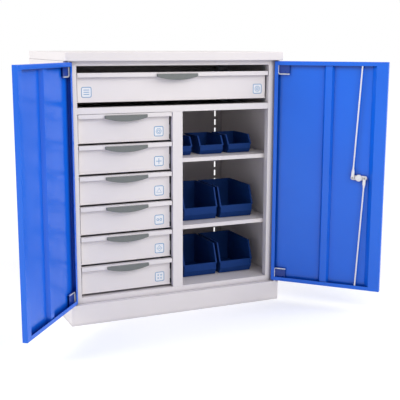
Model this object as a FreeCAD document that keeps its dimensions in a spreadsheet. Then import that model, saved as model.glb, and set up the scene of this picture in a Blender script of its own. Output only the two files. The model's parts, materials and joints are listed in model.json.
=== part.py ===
import FreeCAD, Part
import os
import re

# Tool cabinet: a folded-steel carcass with one wide and six narrow drawers, a shelf bay with
# bins, and two pan doors that stand open. Millimetres and degrees. The origin is on the floor
# at mid width, in the plane of the rails and stiles; the front faces -Y.

NARROW_DRAWERS = 6
SLOTS_PER_ROW = 16

SIZES = {
    # carcass
    "cab_width": 900.0,
    "cab_height": 1040.0,
    "cab_depth": 572.0,
    "sheet_wall": 1.5,
    "seam": 0.2,
    "overrun": 5.0,
    "rear_flange": 15.0,
    "stile_width": 48.0,
    "stile_return": 28.0,
    "divider_width": 42.0,
    "back_inset": 27.0,
    # worktop and plinth
    "worktop_thick": 33.0,
    "worktop_round": 3.0,
    "worktop_flange": 40.0,
    "plinth_height": 80.0,
    "plinth_flange": 40.0,
    # rails
    "top_rail_high": 18.0,
    "middle_rail_high": 23.5,
    "top_bay_high": 196.0,
    "bottom_rail_high": 22.0,
    # hook slots in the back
    "slot_wide": 7.0,
    "slot_long": 27.0,
    "slot_foot": 83.0,
    "slot_head": 217.5,
    "slot_inset": 35.0,
    # shelves and their supports
    "shelf_thick": 16.0,
    "shelf_setback": 4.0,
    "upper_shelf_share": 0.732,
    "lower_shelf_share": 0.343,
    "support_high": 25.0,
    "support_wide": 20.0,
    "support_rear_gap": 32.8,
    # drawers
    "wide_head_gap": 26.0,
    "wide_foot_gap": 18.5,
    "narrow_head_gap": 1.5,
    "narrow_foot_gap": 8.3,
    "drawer_gap": 7.0,
    "lip_side_gap": 3.0,
    "face_side_gap": 7.0,
    "lip_front": 1.0,
    "lip_deep": 19.0,
    "lip_high": 16.0,
    "tray_wall": 1.2,
    "tray_rear_gap": 43.8,
    "tray_foot": 6.0,
    "tray_top_drop": 22.0,
    # drawer slides
    "slide_space": 13.5,
    "rail_setback": 2.0,
    "rail_rear_gap": 35.0,
    "rail_high": 38.0,
    "rail_wide": 6.4,
    "rail_lift": 40.0,
    "rail_flange": 3.0,
    "rail_web": 1.5,
    "slide_play": 0.4,
    "post_wide": 30.0,
    "post_rear_gap": 67.0,
    # drawer handles
    "handle_half": 85.0,
    "handle_drop": 5.5,
    "handle_high": 24.5,
    "handle_sag": 13.0,
    "handle_proud": 7.0,
    "handle_skirt": 2.5,
    "handle_round": 1.4,
    # doors
    "door_side_gap": 0.6,
    "door_meet_gap": 1.0,
    "door_split": 10.0,
    "door_foot_gap": 4.0,
    "door_head_gap": 3.5,
    "door_thick": 20.0,
    "door_wall": 1.2,
    "door_round": 2.0,
    "door_lip": 16.0,
    "left_free_lip": 30.0,
    "right_free_lip": 45.0,
    "fold_run": 19.0,
    "left_open_angle": 128.0,
    "right_open_angle": 133.5,
    "rib_base_half": 22.0,
    "rib_top_half": 13.0,
    "rib_lip_gap": 3.6,
    "rib_end_gap": 6.0,
    # door pins
    "pin_edge": 14.0,
    "pin_back": 8.0,
    "swing_gap": 0.56,
    "pin_ledge": 5.0,
    "pin_radius": 2.5,
    "pin_play": 0.06,
    "pin_drop": 52.0,
    "pin_proud": 9.0,
    "pin_arm": 48.0,
    "pin_bend": 7.0,
    "plate_reach": 46.0,
    "plate_fall": 49.0,
    "plate_gap": 0.5,
    "washer_gap": 0.3,
    # lock
    "lock_edge": 100.8,
    "lock_z": 545.0,
    "cam_arm": 24.0,
    "cam_end": 9.0,
    "cam_thick": 3.0,
    "cam_hub": 13.0,
    "cam_hub_high": 5.0,
    "cam_gap": 1.6,
    "cam_pin": 2.5,
    "cam_pin_head": 4.5,
    "cam_head_thick": 1.2,
    "rivet_gap": 0.3,
    "spindle_radius": 6.0,
    "housing_radius": 12.0,
    "housing_flange": 18.0,
    "flange_thick": 3.0,
    "rod_radius": 3.0,
    "rod_tip_gap": 2.0,
    "rod_slot_half": 9.5,
    "rod_play": 0.5,
    "fork_half": 5.5,
    "fork_thick": 6.6,
    "fork_lap": 8.0,
    "fork_high": 26.0,
    "knob_radius": 16.0,
    "knob_deep": 20.0,
    "knob_round": 3.0,
    "lever_half": 48.0,
    "lever_high": 14.0,
    "lever_deep": 12.0,
    # bins
    "bin_wall": 2.4,
    "bin_lift": 0.2,
    "small_bin_wide": 102.0,
    "small_bin_deep": 160.0,
    "small_bin_high": 75.0,
    "small_bin_front": 39.0,
    "small_bin_chin": 17.0,
    "small_bin_slope": 22.0,
    "medium_bin_wide": 147.0,
    "medium_bin_deep": 230.0,
    "medium_bin_high": 130.0,
    "medium_bin_front": 54.0,
    "medium_bin_chin": 24.0,
    "medium_bin_slope": 30.0,
    "bin_undercut": 12.0,
    "bin_rim": 4.0,
    "bin_rim_high": 5.0,
    "bin_setback": 100.0,
}

# How the free width of the shelf bay is shared out before each bin of a row, from the left
SMALL_BIN_GAP_SHARES = (0.12, 0.247, 0.167)
MEDIUM_BIN_GAP_SHARES = (0.517, 0.115)

# The most that an outer rounding may be, as a share of the wall under it
ROUNDING_SHARE = 3.0

# Left and right of the middle
SIDES = (-1, 1)

# Places that several pieces share, written from the sizes above
CARCASS_TOP = "(cab_height - worktop_thick)"
FLOOR_TOP = "(plinth_height + bottom_rail_high)"
MIDDLE_BASE = f"({CARCASS_TOP} - top_bay_high)"
HALF = "(cab_width / 2)"
OPENING = "(cab_width / 2 - stile_width)"
INNER = "(cab_width / 2 - sheet_wall - seam)"
BACK_FACE = "(cab_depth - back_inset)"
PANEL_REAR = "(cab_depth - back_inset - seam)"
BEHIND_STILE = "(stile_return + seam)"
BAY_LEFT = "(sheet_wall - divider_width / 2 + seam)"
UPPER_SHELF = f"({FLOOR_TOP} + upper_shelf_share * ({MIDDLE_BASE} - {FLOOR_TOP}))"
LOWER_SHELF = f"({FLOOR_TOP} + lower_shelf_share * ({MIDDLE_BASE} - {FLOOR_TOP}))"
RAIL_START = "(stile_return + rail_setback)"
RAIL_END = f"({BACK_FACE} - rail_rear_gap)"
DOOR_BASE = "(plinth_height + door_foot_gap)"
DOOR_TOP = f"({CARCASS_TOP} - door_head_gap)"
DOOR_MEAN = f"({HALF} - door_side_gap - door_meet_gap)"
# The doors meet left of the middle, so the left door (1) is narrower than the right one (-1)
DOOR_WIDES = {1: f"({DOOR_MEAN} - door_split)", -1: f"({DOOR_MEAN} + door_split)"}
SKIN = "(pin_back - door_thick)"
SKIN_INSIDE = "(pin_back - door_thick + door_wall)"
ROD_Y = "(pin_back - door_wall - rod_radius - rod_play)"

doc = FreeCAD.newDocument("tool_cabinet")
sheet = doc.addObject("Spreadsheet::Sheet", "Sizes")
for row, (name, value) in enumerate(SIZES.items(), start=1):
    sheet.set(f"A{row}", name)
    sheet.set(f"B{row}", str(value))
    sheet.setAlias(f"B{row}", name)
doc.recompute()

nodes = {}


def ref(text):
    """Point every size name in an expression at the sheet."""
    return re.sub(r"\b[a-z]\w*\b(?!\s*\()", lambda word: "Sizes." + word.group(0), text)


def size(name):
    return float(sheet.get(name))


def node(label, feature):
    """Give a finished sub-part its name."""
    feature.Label = label
    nodes[label] = feature
    return feature


def mirrored(hand, low, high):
    """A span along X for a left-hand piece (1), or its mirror image (-1)."""
    if hand > 0:
        return (low, high)
    return (f"-({high})", f"-({low})")


def slab(x, y, z):
    """A box between a low and a high expression along each axis."""
    box = doc.addObject("Part::Box", "Slab")
    for prop, axis, (low, high) in (("Length", "x", x), ("Width", "y", y), ("Height", "z", z)):
        box.setExpression(prop, ref(f"({high}) - ({low})"))
        box.setExpression(f"Placement.Base.{axis}", ref(low))
    return box


TURNS = {
    "x": FreeCAD.Rotation(FreeCAD.Vector(0, 1, 0), 90),
    "y": FreeCAD.Rotation(FreeCAD.Vector(1, 0, 0), -90),
    "z": FreeCAD.Rotation(),
}


def dowel(axis, radius, centre, span):
    """A cylinder along one axis: centre is its place on the other two, span its two ends."""
    cylinder = doc.addObject("Part::Cylinder", "Dowel")
    cylinder.Placement = FreeCAD.Placement(FreeCAD.Vector(), TURNS[axis])
    cylinder.setExpression("Radius", ref(radius))
    cylinder.setExpression("Height", ref(f"({span[1]}) - ({span[0]})"))
    others = [name for name in "xyz" if name != axis]
    cylinder.setExpression(f"Placement.Base.{axis}", ref(span[0]))
    for other, place in zip(others, centre):
        cylinder.setExpression(f"Placement.Base.{other}", ref(place))
    return cylinder


def prism(x_low, x_high, y, z):
    """A trapezoid prism along Z: x_low is its X span at the low Y, x_high at the high Y."""
    wedge = doc.addObject("Part::Wedge", "Prism")
    for prop, value in (("Xmin", x_low[0]), ("Xmax", x_low[1]), ("X2min", x_high[0]), ("X2max", x_high[1]),
                        ("Ymin", y[0]), ("Ymax", y[1]), ("Zmin", z[0]), ("Zmax", z[1]),
                        ("Z2min", z[0]), ("Z2max", z[1])):
        wedge.setExpression(prop, ref(value))
    return wedge


def ramp(x, y, z_low, z_high):
    """A prism along X whose Z span changes from the low Y (z_low) to the high Y (z_high)."""
    wedge = doc.addObject("Part::Wedge", "Ramp")
    for prop, value in (("Xmin", x[0]), ("Xmax", x[1]), ("X2min", x[0]), ("X2max", x[1]),
                        ("Ymin", y[0]), ("Ymax", y[1]), ("Zmin", z_low[0]), ("Zmax", z_low[1]),
                        ("Z2min", z_high[0]), ("Z2max", z_high[1])):
        wedge.setExpression(prop, ref(value))
    return wedge


def join(*pieces):
    fused = doc.addObject("Part::MultiFuse", "Join")
    fused.Shapes = list(pieces)
    fused.Refine = True
    return fused


def cut(base, *tools):
    result = doc.addObject("Part::Cut", "Cut")
    result.Base = base
    result.Tool = tools[0] if len(tools) == 1 else join(*tools)
    result.Refine = True
    return result


def rounded(base, radius, wanted):
    """Round the edges of a piece for which wanted(edge) is true."""
    doc.recompute()
    fillet = doc.addObject("Part::Fillet", "Rounded")
    fillet.Base = base
    chosen = [number for number, edge in enumerate(base.Shape.Edges, start=1) if wanted(edge)]
    fillet.Edges = [(number, radius, radius) for number in chosen]
    return fillet


def channel(x, y, z, groove_x, groove_y, groove_z):
    """A bar with a groove along it."""
    return cut(slab(x, y, z), slab(groove_x, groove_y, groove_z))


# Where the doors and the lock stand

# The pins stand just far enough forward for the corners of the doors to swing past the carcass
CLOSED_PIN_X = f"({HALF} - door_side_gap - pin_edge)"
LOCK_FROM_PIN = f"({DOOR_WIDES[-1]} - pin_edge - lock_edge)"
CLOSED_LOCK_X = f"({CLOSED_PIN_X} - {LOCK_FROM_PIN})"
LOCK_X = f"(-{LOCK_FROM_PIN})"
PIN_Y = f"(-sqrt(pin_edge ^ 2 + {SKIN} ^ 2) - swing_gap)"
CLOSED_ROD_Y = f"({PIN_Y} + {ROD_Y})"
CLOSED_SKIN = f"({PIN_Y} + {SKIN})"
PLINTH_FRONT = f"({PIN_Y} - pin_ledge)"


def hang(label, hand, feature):
    """Finish a piece of a door: modelled shut about its pin axis, it is put there and turned open."""
    feature.Placement = FreeCAD.Placement(FreeCAD.Vector(), FreeCAD.Rotation(FreeCAD.Vector(0, 0, 1), 1))
    feature.setExpression("Placement.Base.x", ref(f"{-hand} * {CLOSED_PIN_X}"))
    feature.setExpression("Placement.Base.y", ref(PIN_Y))
    turn = "-left_open_angle" if hand > 0 else "right_open_angle"
    feature.setExpression("Placement.Rotation.Angle", ref(turn))
    node(label, feature)


def rod_slot(x, y, z):
    """The long hole that a lock rod slides and leans in."""
    half_wide = "(rod_radius + rod_play)"
    straight = f"(rod_slot_half - {half_wide})"
    sides = (f"{y} - {half_wide}", f"{y} + {half_wide}")
    middle = slab((f"{x} - {straight}", f"{x} + {straight}"), sides, z)
    ends = [dowel("z", half_wide, (f"{x} {sign} {straight}", y), z) for sign in "-+"]
    return join(middle, *ends)


# Carcass

def build_worktop():
    """A folded pan whose front is flush with the shut doors."""
    top = slab((f"-{HALF}", HALF), (CLOSED_SKIN, "cab_depth"), (CARCASS_TOP, "cab_height"))
    rounding = min(size("worktop_round"), ROUNDING_SHARE * size("sheet_wall"))
    top = rounded(top, rounding, lambda edge: True)
    cavity = slab((f"-{HALF} + sheet_wall", f"{HALF} - sheet_wall"),
                  (f"{CLOSED_SKIN} + sheet_wall", "cab_depth - sheet_wall"),
                  (f"{CARCASS_TOP} + sheet_wall", "cab_height - sheet_wall"))
    window = slab((f"-{HALF} + worktop_flange", f"{HALF} - worktop_flange"),
                  (f"{CLOSED_SKIN} + worktop_flange", "cab_depth - worktop_flange"),
                  (f"{CARCASS_TOP} - overrun", f"{CARCASS_TOP} + sheet_wall + overrun"))
    flange = (f"{CARCASS_TOP} - overrun", f"{CARCASS_TOP} + sheet_wall + overrun")
    holes = [dowel("z", "pin_radius + pin_play", (f"{side} * {CLOSED_PIN_X}", PIN_Y), flange)
             for side in SIDES]
    holes.append(rod_slot(CLOSED_LOCK_X, CLOSED_ROD_Y, flange))
    node("worktop", cut(top, cavity, window, *holes))


def build_plinth():
    outer = slab((f"-{HALF}", HALF), (PLINTH_FRONT, "cab_depth"), ("0", "plinth_height"))
    cavity = slab((f"-{HALF} + sheet_wall", f"{HALF} - sheet_wall"),
                  (f"{PLINTH_FRONT} + sheet_wall", "cab_depth - sheet_wall"),
                  ("sheet_wall", "plinth_height - sheet_wall"))
    window = slab((f"-{HALF} + plinth_flange", f"{HALF} - plinth_flange"),
                  (f"{PLINTH_FRONT} + plinth_flange", "cab_depth - plinth_flange"),
                  ("-overrun", "plinth_height + overrun"))
    ledge = ("plinth_height - sheet_wall - overrun", "plinth_height + overrun")
    holes = [dowel("z", "pin_radius + pin_play", (f"{side} * {CLOSED_PIN_X}", PIN_Y), ledge)
             for side in SIDES]
    holes += [rod_slot(f"{side} * {CLOSED_LOCK_X}", CLOSED_ROD_Y, ledge) for side in SIDES]
    node("plinth", cut(outer, cavity, window, *holes))


def build_side_panel(label, hand):
    tall = ("plinth_height", CARCASS_TOP)
    left_edge = f"-{HALF}"
    wall = slab(mirrored(hand, left_edge, f"{left_edge} + sheet_wall"), ("0", "cab_depth"), tall)
    stile = slab(mirrored(hand, left_edge, f"-{OPENING}"), ("0", "sheet_wall"), tall)
    inner_fold = mirrored(hand, f"-{OPENING} - sheet_wall", f"-{OPENING}")
    stile_fold = slab(inner_fold, ("0", "stile_return"), tall)
    rear = slab(mirrored(hand, left_edge, f"{left_edge} + rear_flange"),
                ("cab_depth - sheet_wall", "cab_depth"), tall)
    node(label, join(wall, stile, stile_fold, rear))


def build_back_panel():
    tall = ("plinth_height + seam", f"{CARCASS_TOP} - seam")
    outer = slab((f"-{INNER}", INNER), (BACK_FACE, "cab_depth - sheet_wall - seam"), tall)
    hollow = slab((f"-{INNER} + sheet_wall", f"{INNER} - sheet_wall"),
                  (f"{BACK_FACE} + sheet_wall", "cab_depth + overrun"),
                  (f"{tall[0]} + sheet_wall", f"{tall[1]} - sheet_wall"))
    first = f"({FLOOR_TOP} + slot_foot)"
    pitch = f"(({CARCASS_TOP} - slot_head - {first}) / {SLOTS_PER_ROW - 1})"
    slots = []
    for side in SIDES:
        centre = f"{side} * ({HALF} - slot_inset)"
        for step in range(SLOTS_PER_ROW):
            middle = f"({first} + {step} * {pitch})"
            slots.append(slab((f"{centre} - slot_wide / 2", f"{centre} + slot_wide / 2"),
                              (f"{BACK_FACE} - overrun", f"{BACK_FACE} + sheet_wall + overrun"),
                              (f"{middle} - slot_long / 2", f"{middle} + slot_long / 2")))
    node("back_panel", cut(outer, hollow, *slots))


def build_floor_panel():
    between = (f"-{OPENING} + seam", f"{OPENING} - seam")
    deck = (f"{FLOOR_TOP} - sheet_wall", FLOOR_TOP)
    main = slab((f"-{INNER}", INNER), (BEHIND_STILE, PANEL_REAR), deck)
    tongue = slab(between, ("0", BEHIND_STILE), deck)
    fold = slab(between, ("0", "sheet_wall"), ("plinth_height + seam", FLOOR_TOP))
    node("floor_panel", join(main, tongue, fold))


def build_rail(label, low, high):
    """A channel rail across the front, open to the back."""
    between = (f"-{OPENING} + seam", f"{OPENING} - seam")
    bar = channel(between, ("0", "stile_return"), (low, high),
                  (f"-{HALF}", HALF), ("sheet_wall", "stile_return + overrun"),
                  (f"{low} + sheet_wall", f"{high} - sheet_wall"))
    node(label, bar)


def build_compartment_deck():
    node("compartment_deck", slab((f"-{INNER}", INNER), (BEHIND_STILE, PANEL_REAR),
                                  (MIDDLE_BASE, f"{MIDDLE_BASE} + sheet_wall")))


def build_divider_panel():
    tall = (f"{FLOOR_TOP} + seam", f"{MIDDLE_BASE} - seam")
    edge = "(divider_width / 2)"
    post = slab((f"-{edge}", edge), ("0", "sheet_wall"), tall)
    partition = slab((f"-{edge}", f"-{edge} + sheet_wall"), ("0", PANEL_REAR), tall)
    fold = slab((f"{edge} - sheet_wall", edge), ("0", "stile_return"), tall)
    node("divider_panel", join(post, partition, fold))


def build_shelf(name, top):
    """A shelf tray and the two angles under its ends."""
    low = f"({top} - shelf_thick)"
    front = "(stile_return + shelf_setback)"
    tray = slab((BAY_LEFT, INNER), (front, PANEL_REAR), (low, top))
    under = slab((f"{BAY_LEFT} + sheet_wall", f"{INNER} - sheet_wall"),
                 (f"{front} + sheet_wall", f"{PANEL_REAR} - sheet_wall"),
                 (f"{low} - overrun", f"{top} - sheet_wall"))
    node(f"{name}_shelf", cut(tray, under))
    along = (front, f"{PANEL_REAR} - support_rear_gap")
    angles = []
    for wall, inward in ((BAY_LEFT, f"{BAY_LEFT} + support_wide"), (INNER, f"{INNER} - support_wide")):
        leaning_in = wall == BAY_LEFT
        across = (wall, inward) if leaning_in else (inward, wall)
        upright = (wall, f"{wall} + sheet_wall") if leaning_in else (f"{wall} - sheet_wall", wall)
        leg = slab(upright, along, (f"{low} - support_high", low))
        seat = slab(across, along, (f"{low} - sheet_wall", low))
        angles.append(join(leg, seat))
    node(f"{name}_shelf_supports", join(*angles))


def build_runner_posts():
    lower = (f"{FLOOR_TOP} + seam", f"{MIDDLE_BASE} - seam")
    upper = (f"{MIDDLE_BASE} + sheet_wall + seam", f"{CARCASS_TOP} - seam")
    posts = []
    for hand, tall in ((1, lower), (1, upper), (-1, upper)):
        for start in (RAIL_START, f"({BACK_FACE} - post_rear_gap)"):
            posts.append(channel(mirrored(hand, f"-{INNER}", f"-{OPENING}"),
                                 (start, f"{start} + post_wide"), tall,
                                 mirrored(hand, f"-{INNER} - overrun", f"-{OPENING} - sheet_wall"),
                                 (f"{start} + sheet_wall", f"{start} + post_wide - sheet_wall"),
                                 (f"{tall[0]} - overrun", f"{tall[1]} + overrun")))
    node("runner_posts", join(*posts))


def build_hinge_washers():
    span = ("plinth_height", f"{DOOR_BASE} - washer_gap")
    rings = []
    for side in SIDES:
        centre = (f"{side} * {CLOSED_PIN_X}", PIN_Y)
        hole = (f"{span[0]} - overrun", f"{span[1]} + overrun")
        ring = dowel("z", "pin_ledge - seam", centre, span)
        rings.append(cut(ring, dowel("z", "pin_radius + pin_play", centre, hole)))
    node("hinge_washers", join(*rings))


# Drawers

def fixed_rails(centre, half_opening, low):
    """The pair of channels that carry a drawer."""
    middle = f"({low} + rail_lift)"
    along = (RAIL_START, RAIL_END)
    tall = (f"{middle} - rail_high / 2", f"{middle} + rail_high / 2")
    groove = (f"{tall[0]} + rail_flange", f"{tall[1]} - rail_flange")
    beyond = (f"{RAIL_START} - overrun", f"{RAIL_END} + overrun")
    wall = f"({centre} - {half_opening})"
    left = channel((wall, f"{wall} + rail_wide"), along, tall,
                   (f"{wall} + rail_web", f"{wall} + rail_wide + overrun"), beyond, groove)
    wall = f"({centre} + {half_opening})"
    right = channel((f"{wall} - rail_wide", wall), along, tall,
                    (f"{wall} - rail_wide - overrun", f"{wall} - rail_web"), beyond, groove)
    return [left, right]


def moving_runners(centre, half_opening, low):
    """The pair of channels on a drawer's sides, running inside the fixed ones."""
    middle = f"({low} + rail_lift)"
    along = (RAIL_START, RAIL_END)
    reach = "(rail_high / 2 - rail_flange - slide_play)"
    tall = (f"{middle} - {reach}", f"{middle} + {reach}")
    groove = (f"{tall[0]} + rail_web", f"{tall[1]} - rail_web")
    beyond = (f"{RAIL_START} - overrun", f"{RAIL_END} + overrun")
    outer = "(rail_web + slide_play)"
    wall = f"({centre} - {half_opening})"
    left = channel((f"{wall} + {outer}", f"{wall} + slide_space"), along, tall,
                   (f"{wall} + {outer} + rail_web", f"{wall} + slide_space + overrun"), beyond, groove)
    wall = f"({centre} + {half_opening})"
    right = channel((f"{wall} - slide_space", f"{wall} - {outer}"), along, tall,
                    (f"{wall} - slide_space - overrun", f"{wall} - {outer} - rail_web"), beyond, groove)
    return [left, right]


def drawer_box(centre, half_opening, lip_top, low):
    """A tray with its face and the folded pull lip above the face."""
    face_y = "(lip_front + lip_deep)"
    tray_y = f"({face_y} + tray_wall)"
    lip_half = f"({half_opening} - lip_side_gap)"
    lip_low = f"({lip_top} - lip_high)"
    lip_x = (f"{centre} - {lip_half}", f"{centre} + {lip_half}")
    lip = channel(lip_x, ("lip_front", tray_y), (lip_low, lip_top),
                  (f"{lip_x[0]} - overrun", f"{lip_x[1]} + overrun"),
                  ("lip_front + tray_wall", f"{tray_y} + overrun"),
                  (f"{lip_low} + tray_wall", f"{lip_top} - tray_wall"))
    face_half = f"({half_opening} - face_side_gap)"
    face = slab((f"{centre} - {face_half}", f"{centre} + {face_half}"), (face_y, tray_y), (low, lip_low))
    tray_half = f"({half_opening} - slide_space)"
    tray = (f"{low} + tray_foot", f"{lip_top} - tray_top_drop")
    rear = f"({BACK_FACE} - tray_rear_gap)"
    outer = slab((f"{centre} - {tray_half}", f"{centre} + {tray_half}"), (tray_y, rear), tray)
    inner = slab((f"{centre} - {tray_half} + tray_wall", f"{centre} + {tray_half} - tray_wall"),
                 (f"{tray_y} + tray_wall", f"{rear} - tray_wall"),
                 (f"{tray[0]} + tray_wall", f"{tray[1]} + overrun"))
    return join(lip, face, cut(outer, inner))


def drawer_handle(centre, lip_top):
    """A crescent grip on the lip: flat above, bellied below, thin where the fingers reach behind."""
    top = f"({lip_top} - handle_drop)"
    low = f"({top} - handle_high)"
    front = "(lip_front - handle_proud)"
    arc = "((handle_half ^ 2 + handle_sag ^ 2) / (2 * handle_sag))"
    span = (f"{centre} - handle_half", f"{centre} + handle_half")
    crescent = doc.addObject("Part::Common", "Crescent")
    crescent.Base = slab(span, (front, "lip_front"), (f"{low} - overrun", top))
    crescent.Tool = dowel("y", arc, (centre, f"{low} + {arc}"), (f"{front} - overrun", "lip_front + overrun"))
    reach = slab((f"{span[0]} - overrun", f"{span[1]} + overrun"),
                 (f"{front} + handle_skirt", "lip_front + overrun"),
                 (f"{low} - overrun", f"{lip_top} - lip_high - seam"))
    grip = cut(crescent, reach)
    front_y = size("lip_front") - size("handle_proud")

    def long_and_in_front(edge):
        in_front = all(abs(point.Y - front_y) < size("seam") for point in edge.Vertexes)
        return in_front and edge.Length > size("handle_half")

    return rounded(grip, size("handle_round"), long_and_in_front)


def build_drawers():
    narrow_centre = f"(-({OPENING} + divider_width / 2) / 2)"
    narrow_half = f"(({OPENING} - divider_width / 2) / 2)"
    wide_top = f"({CARCASS_TOP} - top_rail_high - wide_head_gap)"
    wide_low = f"({MIDDLE_BASE} + middle_rail_high + wide_foot_gap)"
    drawers = [("wide_drawer", "0", OPENING, wide_top, wide_low)]
    stack_top = f"({MIDDLE_BASE} - narrow_head_gap)"
    pitch = f"(({stack_top} + drawer_gap - {FLOOR_TOP} - narrow_foot_gap) / {NARROW_DRAWERS})"
    for number in range(NARROW_DRAWERS):
        lip_top = f"({stack_top} - {number} * {pitch})"
        low = f"({lip_top} - {pitch} + drawer_gap)"
        drawers.append((f"narrow_drawer_{number + 1}", narrow_centre, narrow_half, lip_top, low))
    narrow_rails = []
    for label, centre, half_opening, lip_top, low in drawers:
        rails = fixed_rails(centre, half_opening, low)
        if label == "wide_drawer":
            node("wide_drawer_rails", join(*rails))
        else:
            narrow_rails += rails
        node(f"{label}_box", drawer_box(centre, half_opening, lip_top, low))
        node(f"{label}_runners", join(*moving_runners(centre, half_opening, low)))
        node(f"{label}_handle", drawer_handle(centre, lip_top))
    node("narrow_drawer_rails", join(*narrow_rails))


# Doors, modelled shut about the pin axis and then turned open

def build_door_panel(label, hand):
    free = f"({DOOR_WIDES[hand]} - pin_edge)"
    free_lip = "left_free_lip" if hand > 0 else "right_free_lip"
    outer = slab(mirrored(hand, "-pin_edge", free), (SKIN, "pin_back"), (DOOR_BASE, DOOR_TOP))
    rounding = min(size("door_round"), ROUNDING_SHARE * size("door_wall"))
    outer = rounded(outer, rounding, lambda edge: True)
    cavity = slab(mirrored(hand, "door_wall - pin_edge", f"{free} - door_wall"),
                  (SKIN_INSIDE, "pin_back - door_wall"),
                  (f"{DOOR_BASE} + door_wall", f"{DOOR_TOP} - door_wall"))
    window = slab(mirrored(hand, "door_lip - pin_edge", f"{free} - {free_lip}"),
                  ("pin_back - door_wall - seam", "pin_back + overrun"),
                  (f"{DOOR_BASE} + door_lip", f"{DOOR_TOP} - door_lip"))
    through = (f"{DOOR_BASE} - overrun", f"{DOOR_TOP} + overrun")
    tools = [cavity, window, dowel("z", "pin_radius + pin_play", ("0", "0"), through)]
    if hand < 0:
        tools.append(rod_slot(LOCK_X, ROD_Y, through))
        tools.append(dowel("y", "housing_radius + pin_play", (LOCK_X, "lock_z"),
                           (f"{SKIN} - overrun", f"{SKIN_INSIDE} + overrun")))
    edge = f"({free} - {free_lip})"
    foot = f"({edge} - fold_run)"
    # a fold slopes from the free lip down to the skin
    fold = prism(mirrored(hand, foot, f"{foot} + 2 * door_wall"),
                 mirrored(hand, edge, f"{edge} + 2 * door_wall"),
                 (f"{SKIN_INSIDE} + seam", "pin_back - door_wall / 2"),
                 (f"{DOOR_BASE} + door_wall / 2", f"{DOOR_TOP} - door_wall / 2"))
    hang(label, hand, join(cut(outer, *tools), fold))


def build_door_rib(label, hand):
    middle = f"({hand} * ({DOOR_MEAN} / 2 - pin_edge))"
    tall = (f"{DOOR_BASE} + rib_end_gap", f"{DOOR_TOP} - rib_end_gap")
    crest = "(pin_back - door_wall - rib_lip_gap)"
    outer = prism((f"{middle} - rib_base_half", f"{middle} + rib_base_half"),
                  (f"{middle} - rib_top_half", f"{middle} + rib_top_half"), (SKIN_INSIDE, crest), tall)
    inner = prism((f"{middle} - rib_base_half + 2 * door_wall", f"{middle} + rib_base_half - 2 * door_wall"),
                  (f"{middle} - rib_top_half + door_wall", f"{middle} + rib_top_half - door_wall"),
                  (SKIN_INSIDE, f"{crest} - door_wall"), (f"{tall[0]} - overrun", f"{tall[1]} + overrun"))
    hang(label, hand, cut(outer, inner))


def build_pin_plates(label, hand):
    """A plate in each hinge corner, behind the pin, with a fold that stands on the skin."""
    across = mirrored(hand, "door_wall + seam - pin_edge", "plate_reach")
    back = "(-pin_radius - plate_gap)"
    top_edge = f"({DOOR_TOP} - door_wall - seam)"
    low_edge = f"({DOOR_BASE} + door_wall + seam)"
    plates = []
    for near, far in ((top_edge, f"({top_edge} - plate_fall)"), (low_edge, f"({low_edge} + plate_fall)")):
        upper = near == top_edge
        tall = (far, near) if upper else (near, far)
        fold_z = (far, f"{far} + door_wall") if upper else (f"{far} - door_wall", far)
        plate = slab(across, (f"{back} - door_wall", back), tall)
        fold = slab(across, (SKIN_INSIDE, back), fold_z)
        plates.append(join(plate, fold))
    hang(label, hand, join(*plates))


def bent_pin(hand, upper):
    """A wire pin: an upright that turns in the carcass, a bend and an arm to draw it by."""
    sign = 1 if upper else -1
    edge = DOOR_TOP if upper else DOOR_BASE
    arm_z = f"({edge} - {sign} * pin_drop)"
    start = f"({arm_z} + {sign} * pin_bend)"
    tip = f"({edge} + {sign} * pin_proud)"
    upright = dowel("z", "pin_radius", ("0", "0"), (start, tip) if upper else (tip, start))
    arm = dowel("x", "pin_radius", ("0", arm_z), mirrored(hand, "pin_bend", "pin_arm"))
    bend = doc.addObject("Part::Torus", "Bend")
    bend.setExpression("Radius1", ref("pin_bend"))
    bend.setExpression("Radius2", ref("pin_radius"))
    bend.Angle3 = 90
    # the quarter ring goes from the +X side to the +Y side, and is stood up and turned to the corner
    stand = FreeCAD.Rotation(FreeCAD.Vector(1, 0, 0), 90)
    quarter = {(1, 1): 90, (-1, 1): 0, (1, -1): 180, (-1, -1): 270}[(hand, -sign)]
    corner = FreeCAD.Rotation(FreeCAD.Vector(0, 1, 0), -quarter)
    bend.Placement = FreeCAD.Placement(FreeCAD.Vector(), corner.multiply(stand))
    bend.setExpression("Placement.Base.x", ref(f"{hand} * pin_bend"))
    bend.setExpression("Placement.Base.z", ref(start))
    return join(upright, bend, arm)


def build_hinge_pins(label, hand):
    hang(label, hand, join(bent_pin(hand, True), bent_pin(hand, False)))


# Lock on the right door

FORK_BACK = f"({ROD_Y} - fork_thick / 2)"
FORK_FACE = f"({ROD_Y} + fork_thick / 2)"
CAM_FACE = f"({FORK_BACK} - cam_gap)"
CAM_BACK = f"({CAM_FACE} - cam_thick)"
KNOB_FACE = f"({SKIN} - flange_thick - rivet_gap)"


def build_lock_housing():
    sleeve = dowel("y", "housing_radius", (LOCK_X, "lock_z"), (f"{SKIN} - seam", f"{CAM_BACK} - rivet_gap"))
    flange = dowel("y", "housing_flange", (LOCK_X, "lock_z"), (f"{SKIN} - flange_thick", SKIN))
    bore = dowel("y", "spindle_radius + pin_play", (LOCK_X, "lock_z"),
                 (f"{SKIN} - flange_thick - overrun", f"{CAM_BACK} + overrun"))
    hang("lock_housing", -1, cut(join(sleeve, flange), bore))


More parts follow.
